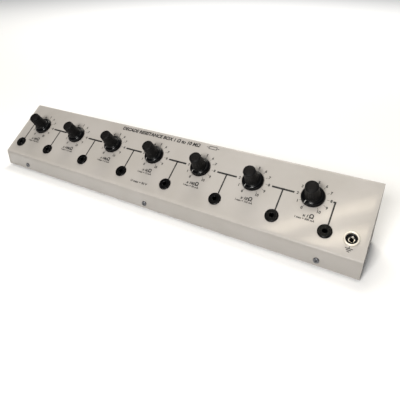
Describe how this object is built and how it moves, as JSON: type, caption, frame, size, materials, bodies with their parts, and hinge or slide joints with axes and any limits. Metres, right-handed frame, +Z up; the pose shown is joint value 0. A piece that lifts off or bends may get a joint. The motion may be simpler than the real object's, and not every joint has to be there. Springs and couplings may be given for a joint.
{
  "type": "decade resistance box",
  "caption": "Wedge-shaped desk console with a row of rotary decade switches and a row of 4 mm plug sockets on its sloping panel.",
  "frame": {"origin": "middle of the footprint, on the surface that the feet stand on", "axes": "+X along the box, from the highest decade to the lowest as the user reads it; +Y towards the high back wall; +Z up"},
  "size_m": [0.434, 0.0662, 0.0661],
  "materials": {
    "painted_steel": "semi-gloss warm light grey paint on folded steel",
    "zinc_plated_steel": "dull zinc plate",
    "knob_plastic": "moulded black, satin",
    "knob_cap_plastic": "moulded black, matt",
    "brass": "turned",
    "nickel_plate": "satin nickel plate",
    "rotor_plastic": "moulded natural nylon",
    "socket_plastic": "moulded black, glossy",
    "switch_plastic": "moulded dark grey",
    "laminate": "paper laminate",
    "circuit_board": "lacquered board",
    "resistor_lacquer": "lacquered",
    "wire_insulation": "extruded insulation",
    "rubber": "moulded",
    "screw_steel": "dark zinc plate"
  },
  "bodies": {
    "case": {"socket_1": "socket_plastic", "socket_2": "socket_plastic", "socket_3": "socket_plastic", "socket_4": "socket_plastic", "socket_5": "socket_plastic", "socket_6": "socket_plastic", "socket_7": "socket_plastic", "socket_8": "socket_plastic", "cover": "painted_steel", "left_end_plate": "painted_steel", "right_end_plate": "painted_steel", "base_plate": "zinc_plated_steel", "contact_sleeves": "nickel_plate", "earth_collar": "nickel_plate", "earth_insert": "socket_plastic", "socket_nuts": "nickel_plate", "switch_bushings": "brass", "switch_nuts": "nickel_plate", "switch_housings": "switch_plastic", "switch_wafers": "laminate", "resistor_boards": "circuit_board", "resistors": "resistor_lacquer", "link_wires": "wire_insulation", "feet": "rubber", "cover_screws": "screw_steel"},
    "decade_1": {"knob_1": "knob_plastic", "knob_cap_1": "knob_cap_plastic", "collet_1": "brass", "shaft_1": "nickel_plate", "rotor_1": "rotor_plastic"},
    "decade_2": {"knob_2": "knob_plastic", "knob_cap_2": "knob_cap_plastic", "collet_2": "brass", "shaft_2": "nickel_plate", "rotor_2": "rotor_plastic"},
    "decade_3": {"knob_3": "knob_plastic", "knob_cap_3": "knob_cap_plastic", "collet_3": "brass", "shaft_3": "nickel_plate", "rotor_3": "rotor_plastic"},
    "decade_4": {"knob_4": "knob_plastic", "knob_cap_4": "knob_cap_plastic", "collet_4": "brass", "shaft_4": "nickel_plate", "rotor_4": "rotor_plastic"},
    "decade_5": {"knob_5": "knob_plastic", "knob_cap_5": "knob_cap_plastic", "collet_5": "brass", "shaft_5": "nickel_plate", "rotor_5": "rotor_plastic"},
    "decade_6": {"knob_6": "knob_plastic", "knob_cap_6": "knob_cap_plastic", "collet_6": "brass", "shaft_6": "nickel_plate", "rotor_6": "rotor_plastic"},
    "decade_7": {"knob_7": "knob_plastic", "knob_cap_7": "knob_cap_plastic", "collet_7": "brass", "shaft_7": "nickel_plate", "rotor_7": "rotor_plastic"}
  },
  "joints": [
    {"name": "decade_1_turn", "type": "hinge", "parent": "case", "child": "decade_1", "pos_m": [-0.185, 0.00508, 0.0462], "axis": [0, -0.5736, 0.8192], "range_deg": [-300, 0]},
    {"name": "decade_2_turn", "type": "hinge", "parent": "case", "child": "decade_2", "pos_m": [-0.127, 0.00508, 0.0462], "axis": [0, -0.5736, 0.8192], "range_deg": [-300, 0]},
    {"name": "decade_3_turn", "type": "hinge", "parent": "case", "child": "decade_3", "pos_m": [-0.069, 0.00508, 0.0462], "axis": [0, -0.5736, 0.8192], "range_deg": [-300, 0]},
    {"name": "decade_4_turn", "type": "hinge", "parent": "case", "child": "decade_4", "pos_m": [-0.011, 0.00508, 0.0462], "axis": [0, -0.5736, 0.8192], "range_deg": [-300, 0]},
    {"name": "decade_5_turn", "type": "hinge", "parent": "case", "child": "decade_5", "pos_m": [0.047, 0.00508, 0.0462], "axis": [0, -0.5736, 0.8192], "range_deg": [-300, 0]},
    {"name": "decade_6_turn", "type": "hinge", "parent": "case", "child": "decade_6", "pos_m": [0.105, 0.00508, 0.0462], "axis": [0, -0.5736, 0.8192], "range_deg": [-300, 0]},
    {"name": "decade_7_turn", "type": "hinge", "parent": "case", "child": "decade_7", "pos_m": [0.163, 0.00508, 0.0462], "axis": [0, -0.5736, 0.8192], "range_deg": [-300, 0]}
  ]
}
